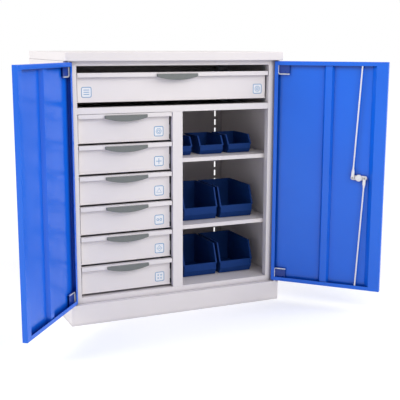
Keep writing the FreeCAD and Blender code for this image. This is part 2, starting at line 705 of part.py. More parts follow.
def build_lock_cam():
    """The spindle, the two-armed plate on its inner end and the pins that the rods hang on."""
    spindle = dowel("y", "spindle_radius", (LOCK_X, "lock_z"), (f"{KNOB_FACE} - knob_deep / 2", CAM_BACK))
    bar = slab((f"{LOCK_X} - cam_arm", f"{LOCK_X} + cam_arm"), (CAM_BACK, CAM_FACE),
               ("lock_z - cam_end", "lock_z + cam_end"))
    hub = dowel("y", "cam_hub", (LOCK_X, "lock_z"), (CAM_BACK, f"{CAM_FACE} + cam_hub_high"))
    pieces = [spindle, bar, hub]
    for sign in "-+":
        pin_x = f"{LOCK_X} {sign} cam_arm"
        head = (f"{FORK_FACE} + rivet_gap", f"{FORK_FACE} + rivet_gap + cam_head_thick")
        pieces.append(dowel("y", "cam_end", (pin_x, "lock_z"), (CAM_BACK, CAM_FACE)))
        pieces.append(dowel("y", "cam_pin", (pin_x, "lock_z"), (CAM_BACK, head[1])))
        pieces.append(dowel("y", "cam_pin_head", (pin_x, "lock_z"), head))
    hang("lock_cam", -1, join(*pieces))


def build_lock_handle():
    """The turn handle outside the door: a boss on the spindle with a lever across it."""
    front = f"({KNOB_FACE} - knob_deep)"
    knob = dowel("y", "knob_radius", (LOCK_X, "lock_z"), (front, KNOB_FACE))
    lever = slab((f"{LOCK_X} - lever_half", f"{LOCK_X} + lever_half"), (front, f"{front} + lever_deep"),
                 ("lock_z - lever_high / 2", "lock_z + lever_high / 2"))
    socket = dowel("y", "spindle_radius + pin_play", (LOCK_X, "lock_z"),
                   (f"{KNOB_FACE} - knob_deep / 2 - seam", f"{KNOB_FACE} + overrun"))
    lever = rounded(lever, size("knob_round"), lambda edge: True)
    hang("lock_handle", -1, cut(join(knob, lever), socket))


def build_lock_rod(label, sign):
    """A bolt rod that leans from its cam pin to the slot above or below; sign is 1 for the upper rod."""
    end = DOOR_TOP if sign > 0 else DOOR_BASE
    rise = f"({sign} * ({end} - lock_z) - rod_tip_gap)"
    length = f"sqrt({rise} ^ 2 + cam_arm ^ 2)"
    upward = ("0", f"{sign} * fork_high")
    rod_span = (f"{sign} * (fork_high - fork_lap)", f"{sign} * {length}")
    if sign < 0:
        upward = upward[::-1]
        rod_span = rod_span[::-1]
    fork = slab(("-fork_half", "fork_half"), (FORK_BACK, FORK_FACE), upward)
    toe = dowel("y", "fork_half", ("0", "0"), (FORK_BACK, FORK_FACE))
    shank = dowel("z", "rod_radius", ("0", ROD_Y), rod_span)
    pin_x = f"({LOCK_X} + {sign} * cam_arm)"
    eye = dowel("y", "cam_pin + pin_play", (pin_x, "lock_z"),
                (f"{FORK_BACK} - overrun", f"{FORK_FACE} + overrun"))
    rod = join(fork, toe, shank)
    rod.Placement = FreeCAD.Placement(FreeCAD.Vector(), FreeCAD.Rotation(FreeCAD.Vector(0, -1, 0), 1))
    rod.setExpression("Placement.Base.x", ref(pin_x))
    rod.setExpression("Placement.Base.z", ref("lock_z"))
    rod.setExpression("Placement.Rotation.Angle", ref(f"atan(cam_arm / {rise})"))
    hang(label, -1, cut(rod, eye))


# Bins

def build_bin(label, kind, centre, floor):
    """An open-fronted bin: a low front with an undercut chin, sides that slope up to a turned-out rim."""
    wide, deep, high = f"{kind}_bin_wide", f"{kind}_bin_deep", f"{kind}_bin_high"
    front_high, chin, slope = f"{kind}_bin_front", f"{kind}_bin_chin", f"{kind}_bin_slope"
    base = f"({floor} + bin_lift)"
    top = f"({base} + {high})"
    brink = f"({base} + {front_high})"
    front = "bin_setback"
    along = (front, f"{front} + {deep}")
    sloped = (front, f"{front} + {slope}")
    outside = (f"{centre} - {wide} / 2", f"{centre} + {wide} / 2")
    inside = (f"{outside[0]} + bin_wall", f"{outside[1]} - bin_wall")
    rim_outside = (f"{outside[0]} - bin_rim", f"{outside[1]} + bin_rim")
    beyond = (f"{rim_outside[0]} - overrun", f"{rim_outside[1]} + overrun")
    above = f"{top} + overrun"
    block = slab(outside, along, (base, top))
    rim_low = f"({brink} - bin_rim_high)"
    rim_under = f"({top} - bin_rim_high)"
    lower = slab(beyond, (f"{front} - overrun", f"{along[1]} + overrun"), (f"{base} - overrun", rim_under))
    below_rim = cut(lower, ramp(beyond, sloped, (rim_low, above), (rim_under, above)))
    rim = cut(slab(rim_outside, along, (rim_low, top)), below_rim)
    brow = ramp(beyond, sloped, (brink, above), (top, above))
    under = ramp(beyond, (front, f"{front} + bin_undercut"), (f"{base} - overrun", f"{base} + {chin}"),
                 (f"{base} - overrun", base))
    hollow = slab(inside, (f"{front} + bin_wall", f"{along[1]} - bin_wall"), (f"{base} + bin_wall", above))
    toe = ramp(beyond, (f"{front} + bin_wall", f"{front} + bin_wall + bin_undercut"),
               (base, f"{base} + bin_wall + {chin}"), (base, f"{base} + bin_wall"))
    mouth = slab(inside, (f"{front} - overrun", f"{front} + bin_wall + seam"), (brink, above))
    node(label, cut(join(block, rim), brow, under, cut(hollow, toe), mouth))


def bin_row(kind, gap_shares):
    """The middles of a row of bins across the shelf bay."""
    free = f"({INNER} - {BAY_LEFT} - {len(gap_shares)} * {kind}_bin_wide)"
    middles = []
    for number in range(len(gap_shares)):
        share = round(sum(gap_shares[:number + 1]), 3)
        middles.append(f"({BAY_LEFT} + {share} * {free} + {number + 0.5} * {kind}_bin_wide)")
    return middles


def build_bins():
    for number, centre in enumerate(bin_row("small", SMALL_BIN_GAP_SHARES), start=1):
        build_bin(f"small_bin_{number}", "small", centre, UPPER_SHELF)
    medium = [(centre, floor) for floor in (LOWER_SHELF, FLOOR_TOP)
              for centre in bin_row("medium", MEDIUM_BIN_GAP_SHARES)]
    for number, (centre, floor) in enumerate(medium, start=1):
        build_bin(f"medium_bin_{number}", "medium", centre, floor)


build_worktop()
build_plinth()
build_side_panel("left_side_panel", 1)
build_side_panel("right_side_panel", -1)
build_back_panel()
build_floor_panel()
build_rail("top_rail", f"({CARCASS_TOP} - top_rail_high)", CARCASS_TOP)
build_rail("middle_rail", MIDDLE_BASE, f"({MIDDLE_BASE} + middle_rail_high)")
build_compartment_deck()
build_divider_panel()
build_shelf("upper", UPPER_SHELF)
build_shelf("lower", LOWER_SHELF)
build_runner_posts()
build_hinge_washers()
build_drawers()
for side, hand in (("left", 1), ("right", -1)):
    build_door_panel(f"{side}_door_panel", hand)
    build_door_rib(f"{side}_door_rib", hand)
    build_pin_plates(f"{side}_door_pin_plates", hand)
    build_hinge_pins(f"{side}_door_hinge_pins", hand)
build_lock_housing()
build_lock_cam()
build_lock_handle()
build_lock_rod("upper_lock_rod", 1)
build_lock_rod("lower_lock_rod", -1)
build_bins()
doc.recompute()

# Every feature has to be sound before anything is written
for feature in doc.Objects:
    if "Invalid" in feature.State or "Error" in feature.State:
        raise RuntimeError(f"{feature.Label} failed: {feature.State}")
for label, feature in nodes.items():
    if feature.Shape.isNull() or not feature.Shape.isValid() or not feature.Shape.Solids:
        raise RuntimeError(f"{label} has no sound shape")

os.makedirs("parts", exist_ok=True)
for label, feature in nodes.items():
    feature.Shape.exportStep(f"parts/{label}.step")
print(len(nodes), "nodes,", sum(len(feature.Shape.Solids) for feature in nodes.values()), "solids")
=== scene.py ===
import json
import math

import bmesh
import bpy
from mathutils import Matrix, Vector


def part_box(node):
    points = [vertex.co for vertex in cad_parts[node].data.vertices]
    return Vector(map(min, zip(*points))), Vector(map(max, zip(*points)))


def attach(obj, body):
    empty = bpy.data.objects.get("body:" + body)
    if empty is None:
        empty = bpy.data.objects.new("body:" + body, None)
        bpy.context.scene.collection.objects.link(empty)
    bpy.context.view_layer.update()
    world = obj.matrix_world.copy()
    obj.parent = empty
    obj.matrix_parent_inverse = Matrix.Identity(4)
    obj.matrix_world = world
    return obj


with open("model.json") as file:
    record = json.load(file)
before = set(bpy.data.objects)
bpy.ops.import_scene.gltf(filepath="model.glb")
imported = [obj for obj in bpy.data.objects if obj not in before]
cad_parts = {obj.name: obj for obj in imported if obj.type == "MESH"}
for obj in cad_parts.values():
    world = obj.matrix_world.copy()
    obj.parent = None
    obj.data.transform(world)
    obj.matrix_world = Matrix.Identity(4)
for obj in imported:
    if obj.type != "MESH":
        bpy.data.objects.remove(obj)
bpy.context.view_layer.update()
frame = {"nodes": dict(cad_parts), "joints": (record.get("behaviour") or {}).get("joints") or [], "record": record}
NODES = frame["nodes"]
RECORD = frame["record"]
JOINTS = {joint["name"]: joint for joint in frame["joints"]}
DRAWERS = [body for body in RECORD["behaviour"]["bodies"] if "drawer" in body]
LOCK_RODS = ("upper", "lower")

# Tool cabinet: the imported model in its finishes, with the trim that is too thin for the solids.
# Metres, in the model's own frame: the front faces -Y and the floor is at z = 0.

# Edges of a coat: how far it rounds them, the lean of a rounded normal, as a cosine, where the painted
# edge highlight starts and where it is full, how much of that highlight shows, and the rays that find an edge
EDGE_ROUND = 0.0012
EDGE_LEAN = (0.99, 0.8)
EDGE_HIGHLIGHT_SHARE = 0.7
EDGE_RAYS = 6
# Painted shade in the corners of a coat: how far it reaches, and the rays that find a corner
CORNER_SHADE_REACH = 0.03
CORNER_RAYS = 8
# Painted shade on the divider's side: where it goes in behind the drawer fronts, and how far left its faces look
GAP_SHADE_SPAN = (0.018, 0.021)
GAP_SHADE_LEFT_SPAN = (-0.4, -0.6)

# Noises of the finishes, in features per metre
COAT_TONE, COAT_GLOSS, COAT_SKIN = 3.0, 45.0, 420.0
PLASTIC_TONE, PLASTIC_GLOSS, PLASTIC_SKIN = 520.0, 60.0, 900.0
PLATE_TONE, PLATE_GLOSS, PLATE_SKIN = 60.0, 120.0, 500.0
PRINT_TONE, PRINT_GLOSS = 300.0, 90.0
# How many finer layers a noise has, and the part of it that takes a finish from end to end
PLAIN_DETAIL, FINE_DETAIL, MARK_DETAIL = 2.0, 3.0, 4.0
NOISE_SPAN = (0.3, 0.7)
SPECKLE_SPAN = (0.35, 0.65)
# How strong and how high the skins are
COAT_STRENGTH, COAT_HIGH = 0.06, 0.0004
PLASTIC_STRENGTH, PLASTIC_HIGH = 0.25, 0.0003
PLATE_STRENGTH, PLATE_HIGH = 0.05, 0.0002
# How metallic the zinc plate is, and how its drawing marks are stretched
PLATE_METAL = 0.45
PLATE_STRETCH = (1.0, 1.0, 0.15)
# Where a mix node keeps its sockets for colours
MIX_FIRST, MIX_SECOND, MIX_RESULT = 6, 7, 2

# Smooth faces meet in a sharp edge from this angle on, in degrees
SHARP_ANGLE = 40

# Rolled hem along the foot of each drawer face, which tapers off at both ends
HEM_HIGH = 0.0036
HEM_DEEP = 0.0024
HEM_TAPER = HEM_DEEP / 3
HEM_END_SHARE = 0.6
HEM_STEPS = 8

# Badges on the drawer faces; drop and inset go from the box's upper corner to a badge's middle
BADGE_HALF = 0.0197
BADGE_ROUND = 0.007
BADGE_LINE = 0.0024
BADGE_THICK = 0.0003
BADGE_DROP = 0.075
BADGE_INSET = 0.048
WIDE_BADGE_DROP = 0.0715
WIDE_BADGE_INSET = 0.039
FILM_THICK = BADGE_THICK / 2
MOTIF_LINE = BADGE_LINE * 0.8
STROKE_HALF = BADGE_LINE * 0.45
# The order of a badge's materials
INK_PLACE, FILM_PLACE = 0, 1

# Raised ring on the lock's hub; the hub's face is looked for inside HUB_RADIUS
RING_OUTER = 0.0098
RING_INNER = 0.0066
RING_HIGH = 0.0012
RING_CHAMFER = RING_HIGH / 3
HUB_RADIUS = RING_OUTER * 1.5
# Domed heads on the lock's pins, in shares of their radius and height from the foot to the crown; a
# pin's top is looked for inside PIN_RADIUS
RIVET_RADIUS = 0.0036
RIVET_HIGH = 0.0009
RIVET_DOME = ((1.0, 0.0), (0.9, 0.5), (0.6, 0.85), (0.25, 1.0))
PIN_RADIUS = RIVET_RADIUS * 1.5
# Ferrules where the lock rods leave their forks, with the half width and half thickness at shares
# of the length; points this near to a rod's end are taken as that end
FORK_LONG = 0.0315
FERRULE_LONG = 0.014
FERRULE_WIDE = 0.0052
FERRULE_THICK = 0.0032
FERRULE_TIP = 0.0034
FERRULE_END = FERRULE_TIP * 0.93
FERRULE_SECTIONS = (
    (-0.05, FERRULE_WIDE, FERRULE_THICK),
    (0.1, FERRULE_WIDE, FERRULE_THICK),
    (0.85, FERRULE_TIP, FERRULE_TIP),
    (1.0, FERRULE_END, FERRULE_END),
)
FERRULE_CORNERS = 24
END_REACH = 0.001

# Floor and backdrop: how far from the middle the floor turns from lit, where it keeps the shadow,
# to a white backdrop, and what it adds to the picture at both ends of that span
WHITE = (1, 1, 1, 1)
FLOOR_REACH = 30.0
FLOOR_COLOUR = (0.86, 0.86, 0.86, 1)
FLOOR_ROUGH = 0.9
BACKDROP_SPAN = (1.2, 4.5)
BACKDROP_LIFTS = (0.29, 0.55)
BACKDROP_LEVEL = 1.0

# Light from all round, and the lamps: degrees round from the front, with left negative, degrees up,
# and what the lamp adds to a white surface that faces it
AMBIENT = 0.56
LAMP_AWAY = 5.0
LAMP_SIZE = 2.4
LAMP_TARGET = (0.0, 0.1, 0.5)
LAMPS = {
    "left": (-92, 30, 0.5),
    "front": (10, 30, 0.26),
    "right": (57, 30, 0.34),
}

# The photograph's camera: where it stands, how many degrees it looks right, looks down and rolls,
# and its focal length in pixels of the picture
CAMERA_PLACE = (-1.2166, -2.9582, 1.0653)
CAMERA_TURNS = (23.941, 10.735, 0.165)
FOCAL_PIXELS = 816.23
PICTURE_PIXELS = 400
SENSOR_WIDE = 36.0
CLIP_NEAR, CLIP_FAR = 0.1, 100.0


# Colours and finishes

def colour(red, green, blue):
    """A screen colour of 0 to 255 as the linear colour that the shaders take, by the sRGB curve."""
    def linear(value):
        value /= 255
        return value / 12.92 if value <= 0.04045 else ((value + 0.055) / 1.055) ** 2.4
    return (linear(red), linear(green), linear(blue), 1.0)


class Web:
    """A node tree, with short ways to add to it."""

    def __init__(self, tree):
        self.tree = tree

    def give(self, socket, value):
        """Set a socket to a plain value, or link it to another node's output."""
        if isinstance(value, bpy.types.NodeSocket):
            self.tree.links.new(value, socket)
        else:
            socket.default_value = value

    def add(self, kind, inputs, **settings):
        """A new node with its settings, and with values or outputs for its inputs."""
        node = self.tree.nodes.new(kind)
        for name, value in settings.items():
            setattr(node, name, value)
        for name, value in inputs.items():
            self.give(node.inputs[name], value)
        return node

    def combined(self, operation, first, second):
        """One number worked out of two."""
        node = self.add("ShaderNodeMath", {0: first, 1: second}, operation=operation)
        return node.outputs["Value"]

    def background_rays(self):
        """1 for the rays that show the background, straight or by gloss or glass, and else 0."""
        path = self.add("ShaderNodeLightPath", {})
        seen = path.outputs["Is Camera Ray"]
        for ray in ("Is Glossy Ray", "Is Transmission Ray"):
            seen = self.combined("MAXIMUM", seen, path.outputs[ray])
        return seen


class Net(Web):
    """A node material with a principled shader, and the textures that several finishes share."""

    def __init__(self, name):
        self.material = bpy.data.materials.new(name)
        self.material.use_nodes = True
        super().__init__(self.material.node_tree)
        self.shader = self.tree.nodes["Principled BSDF"]
        self.place = self.add("ShaderNodeTexCoord", {}).outputs["Object"]

    def set(self, **values):
        """Give the shader's inputs their values, with _ for the blanks in their names."""
        for name, value in values.items():
            self.give(self.shader.inputs[name.replace("_", " ")], value)

    def noise(self, scale, detail=PLAIN_DETAIL, stretch=None):
        """A noise over the object, as a number of 0 to 1; scale is in features per metre."""
        place = self.place
        if stretch:
            mapping = self.add("ShaderNodeMapping", {"Vector": place, "Scale": stretch})
            place = mapping.outputs["Vector"]
        texture = self.add("ShaderNodeTexNoise", {
            "Vector": place,
            "Scale": scale,
            "Detail": detail,
        })
        return texture.outputs["Fac"]

    def ranged(self, value, span, to=(0.0, 1.0)):
        """A value with one span stretched to another, and held at its ends."""
        node = self.add("ShaderNodeMapRange", {
            "Value": value,
            "From Min": span[0],
            "From Max": span[1],
            "To Min": to[0],
            "To Max": to[1],
        })
        return node.outputs["Result"]

    def drift(self, scale, to=(0.0, 1.0), detail=FINE_DETAIL, span=NOISE_SPAN, stretch=None):
        """A noise that runs from one value to another."""
        return self.ranged(self.noise(scale, detail, stretch), span, to)

    def mixed(self, share, first, second):
        """A colour between two, each a colour or another node's output."""
        node = self.add("ShaderNodeMix", {"Factor": share, MIX_FIRST: first, MIX_SECOND: second},
                        data_type="RGBA")
        return node.outputs[MIX_RESULT]

    def parts(self, vector):
        """The X, Y and Z of a vector."""
        return self.add("ShaderNodeSeparateXYZ", {"Vector": vector}).outputs

    def flat(self):
        """The normals of the faces as they are."""
        return self.add("ShaderNodeNewGeometry", {}).outputs["Normal"]

    def rounded(self):
        """Normals that run smoothly over the edges."""
        node = self.add("ShaderNodeBevel", {"Radius": EDGE_ROUND}, samples=EDGE_RAYS)
        return node.outputs["Normal"]

    def edges(self, rounded):
        """The share of painted highlight: its full share along the edges and 0 on the flats."""
        lean = self.add("ShaderNodeVectorMath", {0: rounded, 1: self.flat()},
                        operation="DOT_PRODUCT")
        return self.ranged(lean.outputs["Value"], EDGE_LEAN, (0.0, EDGE_HIGHLIGHT_SHARE))

    def openness(self, alone):
        """0 deep in a corner and 1 in the open; alone leaves out the other pieces."""
        node = self.add("ShaderNodeAmbientOcclusion", {"Distance": CORNER_SHADE_REACH},
                        samples=CORNER_RAYS, only_local=alone)
        return node.outputs["AO"]

    def gap_shade_mask(self):
        """Where shade is painted: 1 on the faces that look left from behind the drawer fronts."""
        behind = self.ranged(self.parts(self.place)["Y"], GAP_SHADE_SPAN)
        leftward = self.ranged(self.parts(self.flat())["X"], GAP_SHADE_LEFT_SPAN)
        return self.combined("MULTIPLY", behind, leftward)

    def skin(self, scale, strength, high, **normal):
        """A fine noise as a bump, over the faces' own normals or over those given."""
        node = self.add("ShaderNodeBump", {
            "Height": self.noise(scale),
            "Strength": strength,
            "Distance": high,
            **normal,
        })
        self.set(Normal=node.outputs["Normal"])


def paint(name, base, shade, edge, corner, rough=(0.42, 0.5), corner_shade_span=(0.25, 0.7), specular=0.5,
          inside=None, alone=False):
    """Powder coat on sheet steel: a faint drift of tone, an orange-peel skin, a painted highlight along the
    edges, painted shade in the corners, and, where inside is given, painted shade in that colour on the faces
    behind the drawer fronts."""
    net = Net(name)
    rounded = net.rounded()
    coat = net.mixed(net.drift(COAT_TONE), base, shade)
    # Painted highlight: the edge colour along the edges
    coat = net.mixed(net.edges(rounded), coat, edge)
    # Painted shade: the corner colour where little of the open is seen
    coat = net.mixed(net.ranged(net.openness(alone), corner_shade_span), corner, coat)
    # Painted shade on the divider's faces in the gap behind the drawer fronts
    if inside:
        coat = net.mixed(net.gap_shade_mask(), coat, inside)
    net.set(Base_Color=coat, Roughness=net.drift(COAT_GLOSS, rough), Specular_IOR_Level=specular)
    net.skin(COAT_SKIN, COAT_STRENGTH, COAT_HIGH, Normal=rounded)
    return net.material


def moulded(name, base, shade, rough=(0.4, 0.52), strength=PLASTIC_STRENGTH, specular=0.5):
    """Moulded plastic with a fine texture."""
    net = Net(name)
    net.set(Base_Color=net.mixed(net.drift(PLASTIC_TONE, span=SPECKLE_SPAN), base, shade),
            Roughness=net.drift(PLASTIC_GLOSS, rough), Specular_IOR_Level=specular)
    net.skin(PLASTIC_SKIN, strength, PLASTIC_HIGH, Normal=net.rounded())
    return net.material


def plated(name, base, shade, rough=(0.28, 0.42)):
    """Bright zinc plate with drawing marks."""
    net = Net(name)
    marks = net.drift(PLATE_TONE, detail=MARK_DETAIL, stretch=PLATE_STRETCH)
    net.set(Base_Color=net.mixed(marks, base, shade), Roughness=net.drift(PLATE_GLOSS, rough),
            Metallic=PLATE_METAL)
    net.skin(PLATE_SKIN, PLATE_STRENGTH, PLATE_HIGH)
    return net.material


def printed(name, base, shade, rough=(0.5, 0.6)):
    """Film with a matt print."""
    net = Net(name)
    net.set(Base_Color=net.mixed(net.drift(PRINT_TONE), base, shade),
            Roughness=net.drift(PRINT_GLOSS, rough, PLAIN_DETAIL))
    return net.material


GREY, GREY_SHADE = colour(228, 222, 222), colour(223, 217, 218)
# Painted light on the coats: the colour of the highlight painted along the edges, of the shade painted into the
# corners, and for the blue the openness over which that shade fades out
GREY_PAINTED_LIGHT = {"edge": colour(238, 235, 236), "corner": colour(165, 160, 165)}
BLUE_PAINTED_LIGHT = {
    "edge": colour(70, 140, 240),
    "corner": colour(8, 48, 150),
    "corner_shade_span": (0.25, 0.92),
}

MATERIALS = {
    "body_paint": paint("light_grey_coat", GREY, GREY_SHADE, **GREY_PAINTED_LIGHT),
    "door_paint": paint("blue_coat", colour(17, 104, 225), colour(14, 98, 218),
                        rough=(0.18, 0.23), specular=0.43, **BLUE_PAINTED_LIGHT),
    "handle_plastic": moulded("grey_plastic", colour(117, 121, 119), colour(98, 102, 101)),
    "zinc_steel": plated("zinc_plate", colour(226, 228, 230), colour(206, 208, 212)),
    # The lock's coat has its own painted highlight along the edges and painted shade in the corners
    "lock_white": paint("lock_coat", colour(236, 235, 236), colour(228, 226, 228),
                        edge=colour(245, 245, 245), corner=colour(170, 168, 175),
                        rough=(0.35, 0.45)),
    "bin_plastic": moulded("bin_blue_plastic", colour(23, 60, 126), colour(20, 54, 115),
                           rough=(0.45, 0.55), strength=0.12, specular=0.12),
}
INK = printed("badge_ink", colour(70, 142, 192), colour(62, 134, 186))
FILM = printed("badge_film", colour(232, 233, 236), colour(228, 229, 233))

# Pieces whose coat differs from the rest of their slot
# The drawers take painted corner shade from their own parts only
DRAWER_COAT = paint("drawer_coat", GREY, GREY_SHADE, alone=True, **GREY_PAINTED_LIGHT)
# The divider: no corner shade, and painted shade on its faces in the gap behind the drawer fronts
DIVIDER_GAP_SHADE_COAT = paint("divider_coat_painted_gap_shade", GREY, GREY_SHADE, edge=GREY_PAINTED_LIGHT["edge"], corner=GREY_SHADE,
                     inside=colour(46, 45, 48))
# A darker copy of the grey coat, as painted shade on the back panel
BACK_SHADED_COAT = paint("back_coat_painted_shade", colour(214, 208, 209), colour(209, 203, 205), **GREY_PAINTED_LIGHT)
# A darker copy of the blue coat, as painted shade on the door pin plates
PIN_PLATE_SHADED_COAT = paint("plate_coat_painted_shade", colour(8, 60, 155), colour(7, 55, 146), rough=(0.26, 0.32),
                   **BLUE_PAINTED_LIGHT)
RIVET_STEEL = plated("rivet_steel", colour(146, 142, 138), colour(128, 124, 121))
COAT_OF = {f"{drawer}_box": DRAWER_COAT for drawer in DRAWERS}
COAT_OF |= {"divider_panel": DIVIDER_GAP_SHADE_COAT, "back_panel": BACK_SHADED_COAT}
COAT_OF |= {f"{side}_door_pin_plates": PIN_PLATE_SHADED_COAT for side in ("left", "right")}

SLOT_OF = {row["node"]: row["material_slot"] for row in RECORD["subparts"]}
for node, shown in NODES.items():
    shown.data.materials.clear()
    shown.data.materials.append(COAT_OF.get(node, MATERIALS[SLOT_OF[node]]))


# Mesh tools

def circle(radius, corners=32, turn=0.0):
    """The points of a regular outline round (0, 0); turn is in degrees."""
    angles = [math.radians(turn) + 2 * math.pi * step / corners for step in range(corners)]
    return [(radius * math.cos(angle), radius * math.sin(angle)) for angle in angles]


def rounded_square(half, radius, steps=6):
    """The points of a square with round corners, round from the upper end of its right side."""
    points = []
    for quarter, (across, up) in enumerate(((1, 1), (-1, 1), (-1, -1), (1, -1))):
        for step in range(steps + 1):
            angle = math.pi / 2 * (quarter + step / steps)
            points.append((across * (half - radius) + radius * math.cos(angle),
                           up * (half - radius) + radius * math.sin(angle)))
    return points


def bar(start, end, half):
    """The four corners of a straight stroke."""
    along = (Vector(end) - Vector(start)).normalized() * half
    side = Vector((-along.y, along.x))
    start, end = Vector(start) - along, Vector(end) + along
    return [tuple(point) for point in (start - side, end - side, end + side, start + side)]


def shifted(outline, middle):
    """An outline moved from (0, 0) to another middle."""
    return [(across + middle[0], up + middle[1]) for across, up in outline]


class Seat:
    """A place on the object: where it is, and which way is across, up and out there."""

    def __init__(self, origin, across, up, out):
        self.origin = Vector(origin)
        self.across, self.up, self.out = Vector(across), Vector(up), Vector(out)

    def loop(self, outline, height):
        """An outline as points of the object, so far out of the seat."""
        return [self.origin + self.across * across + self.up * up + self.out * height
                for across, up in outline]


def loft(mesh, loops, closed=False, finish=0):
    """Skin a row of loops with as many points each, and cap its ends unless it closes on itself;
    finish is the place of the material."""
    rows = [[mesh.verts.new(point) for point in loop] for loop in loops]
    pairs = list(zip(rows, rows[1:]))
    faces = []
    if closed:
        pairs.append((rows[-1], rows[0]))
    else:
        faces += [mesh.faces.new(rows[0][::-1]), mesh.faces.new(rows[-1])]
    for near, far in pairs:
        for step in range(len(near)):
            after = (step + 1) % len(near)
            faces.append(mesh.faces.new((near[step], near[after], far[after], far[step])))
    for face in faces:
        face.material_index = finish
        face.smooth = True


def ring(mesh, seat, outer, inner, low, high, finish=0):
    """A flat ring between two outlines."""
    loft(mesh, [seat.loop(outer, low), seat.loop(outer, high),
                seat.loop(inner, high), seat.loop(inner, low)], closed=True, finish=finish)


def placed(name, data):
    """A new object in the scene."""
    thing = bpy.data.objects.new(name, data)
    bpy.context.scene.collection.objects.link(thing)
    return thing


def add_piece(name, mesh, body, materials):
    """Make a piece of a mesh and let it ride on a body."""
    bmesh.ops.recalc_face_normals(mesh, faces=mesh.faces)
    data = bpy.data.meshes.new(name)
    mesh.to_mesh(data)
    mesh.free()
    data.set_sharp_from_angle(angle=math.radians(SHARP_ANGLE))
    for material in materials:
        data.materials.append(material)
    piece = placed(name, data)
    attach(piece, body)


# Drawers

def face_plane(drawer):
    """The y of a drawer's face: the front of what is lowest on its box."""
    points = [vertex.co for vertex in NODES[f"{drawer}_box"].data.vertices]
    foot = min(point.z for point in points)
    return min(point.y for point in points if point.z < foot + HEM_HIGH / 2)


def build_hem(drawer):
    """A rolled edge along the foot of the face, as wide as the lip above."""
    low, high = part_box(f"{drawer}_box")
    face = face_plane(drawer)
    middle = low[2] + HEM_HIGH / 2
    angles = [math.pi * step / HEM_STEPS for step in range(HEM_STEPS + 1)]
    loops = []
    for x, share in ((low[0], HEM_END_SHARE), (low[0] + HEM_TAPER, 1.0),
                     (high[0] - HEM_TAPER, 1.0), (high[0], HEM_END_SHARE)):
        loops.append([Vector((x, face - HEM_DEEP * math.sin(angle) * share,
                              middle - HEM_HIGH / 2 * math.cos(angle) * share))
                      for angle in angles])
    mesh = bmesh.new()
    loft(mesh, loops)
    add_piece(f"{drawer}_hem", mesh, drawer, [DRAWER_COAT])


# Plain motifs for the badges, in shares of a badge's half size: rings have a middle, a radius, a
# number of corners and a turn, and bars a start and an end
MOTIF_SHARES = {
    "levels": {"bars": [((-0.5, up), (0.5, up)) for up in (0.42, 0.0, -0.42)]},
    "target": {"rings": [((0, 0), 0.58, 28, 0), ((0, 0), 0.26, 20, 0)]},
    "nut": {"rings": [((0, 0), 0.62, 6, 0), ((0, 0), 0.3, 20, 0)]},
    "cross": {"bars": [((-0.5, 0), (0.5, 0)), ((0, -0.5), (0, 0.5))]},
    "wedge": {"rings": [((0, -0.12), 0.66, 3, 90)]},
    "pair": {"rings": [((across, 0), 0.26, 20, 0) for across in (-0.32, 0.32)]},
    "diamond": {"rings": [((0, 0), 0.6, 4, 0)], "bars": [((-0.2, 0), (0.2, 0))]},
    "grid": {"rings": [((across, up), 0.2, 4, 45)
                       for across in (-0.32, 0.32) for up in (-0.32, 0.32)]},
}
BADGES = [
    ("wide_drawer", "left", "levels"),
    ("wide_drawer", "right", "target"),
    ("narrow_drawer_1", "right", "nut"),
    ("narrow_drawer_2", "right", "cross"),
    ("narrow_drawer_3", "right", "wedge"),
    ("narrow_drawer_4", "right", "pair"),
    ("narrow_drawer_5", "right", "diamond"),
    ("narrow_drawer_6", "right", "grid"),
]


def build_badge(drawer, side, motif):
    """A film square with a printed frame and a plain motif."""
    low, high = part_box(f"{drawer}_box")
    wide = drawer == "wide_drawer"
    drop, inset = (WIDE_BADGE_DROP, WIDE_BADGE_INSET) if wide else (BADGE_DROP, BADGE_INSET)
    x = low[0] + inset if side == "left" else high[0] - inset
    seat = Seat((x, face_plane(drawer), high[2] - drop), (1, 0, 0), (0, 0, 1), (0, -1, 0))
    outer = rounded_square(BADGE_HALF, BADGE_ROUND)
    inner = rounded_square(BADGE_HALF - BADGE_LINE, BADGE_ROUND - BADGE_LINE)
    mesh = bmesh.new()
    loft(mesh, [seat.loop(inner, 0.0), seat.loop(inner, FILM_THICK)], finish=FILM_PLACE)
    ring(mesh, seat, outer, inner, 0.0, BADGE_THICK, finish=INK_PLACE)
    shares = MOTIF_SHARES[motif]
    for middle, radius, corners, turn in shares.get("rings", []):
        place = (middle[0] * BADGE_HALF, middle[1] * BADGE_HALF)
        reach = radius * BADGE_HALF
        ring(mesh, seat, shifted(circle(reach, corners, turn), place),
             shifted(circle(reach - MOTIF_LINE, corners, turn), place),
             FILM_THICK, BADGE_THICK, finish=INK_PLACE)
    for start, end in shares.get("bars", []):
        stroke = bar(Vector(start) * BADGE_HALF, Vector(end) * BADGE_HALF, STROKE_HALF)
        loft(mesh, [seat.loop(stroke, FILM_THICK), seat.loop(stroke, BADGE_THICK)],
             finish=INK_PLACE)
    add_piece(f"{drawer}_{side}_badge", mesh, drawer, [INK, FILM])


# Lock

def lock_seat():
    """The lock's axis on the inside of the right door."""
    joint = JOINTS["lock_turn"]
    inward = -Vector(joint["axis"])
    up = Vector((0, 0, 1))
    return Seat(joint["pos_m"], up.cross(inward), up, inward)


def height_near(seat, node, middle, radius):
    """How far a node stands out of a seat round one point of it."""
    heights = []
    for vertex in NODES[node].data.vertices:
        away = vertex.co - seat.origin
        across, up = away.dot(seat.across) - middle[0], away.dot(seat.up) - middle[1]
        if math.hypot(across, up) < radius:
            heights.append(away.dot(seat.out))
    return max(heights)


